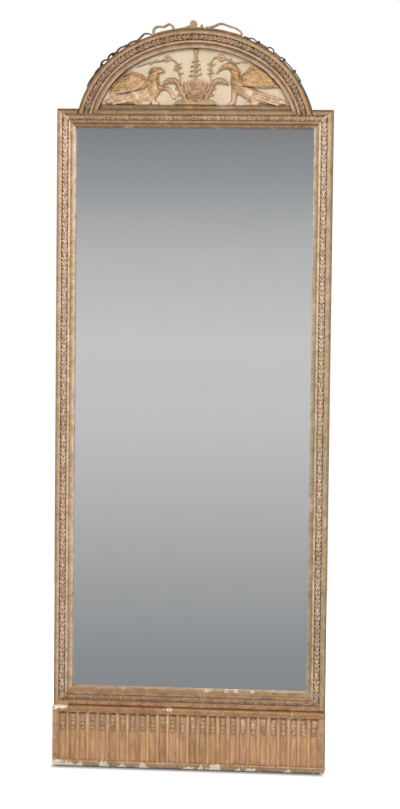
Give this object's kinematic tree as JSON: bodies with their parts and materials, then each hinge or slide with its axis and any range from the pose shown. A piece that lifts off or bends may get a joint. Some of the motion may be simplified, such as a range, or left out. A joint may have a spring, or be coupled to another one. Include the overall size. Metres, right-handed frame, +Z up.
{
  "type": "giltwood pier mirror",
  "caption": "Tall gilded pier mirror: moulded leaf-carved frame, arched lunette crest with griffins in relief, ribbon cresting, fluted plinth and a hanging ring behind.",
  "frame": {"origin": "under the middle of the plinth, on the floor, halfway through the plinth's depth", "axes": "+Z up, -Y out of the glass towards the viewer, +X to the viewer's right"},
  "size_m": [0.686, 0.069, 1.8665],
  "materials": {
    "gilding": "carved wood with worn leaf gilding",
    "painted_ground": "aged cream distemper",
    "silvered_glass": "old silvered plate",
    "pine": "aged raw pine",
    "iron": "forged and dulled"
  },
  "bodies": {
    "mirror": {"stile_left": "gilding", "stile_right": "gilding", "rail_top": "gilding", "rail_bottom": "gilding", "arch_left": "gilding", "arch_crown": "gilding", "arch_right": "gilding", "lunette_ground": "gilding", "griffin_left": "gilding", "griffin_right": "gilding", "leafy_cup": "gilding", "serpent_staff": "gilding", "flower_spray_left": "gilding", "flower_spray_right": "gilding", "bow_knot": "gilding", "bow_loop_left": "gilding", "bow_loop_right": "gilding", "ribbon_tail_left": "gilding", "ribbon_tail_right": "gilding", "plinth_ledge": "gilding", "plinth_base": "gilding", "plinth_side_left": "gilding", "plinth_side_right": "gilding", "fluted_panel": "gilding", "mitre_keys": "pine", "glass_blocks": "pine", "backboard_left": "pine", "backboard_middle": "pine", "backboard_right": "pine", "arch_dowels": "pine", "plinth_glue_blocks": "pine", "crest_batten_left": "pine", "crest_batten_right": "pine", "plinth_batten_left": "pine", "plinth_batten_right": "pine", "backboard_nails": "iron", "batten_screws": "iron", "hanging_eye": "iron", "mirror_plate": "silvered_glass", "lunette_panel": "painted_ground"},
    "ring": {"hanging_ring": "iron"}
  },
  "joints": [
    {"name": "ring_swing", "type": "hinge", "parent": "mirror", "child": "ring", "pos_m": [0, 0.0236, 1.6335], "axis": [1, 0, 0], "range_deg": [0, 180]}
  ]
}
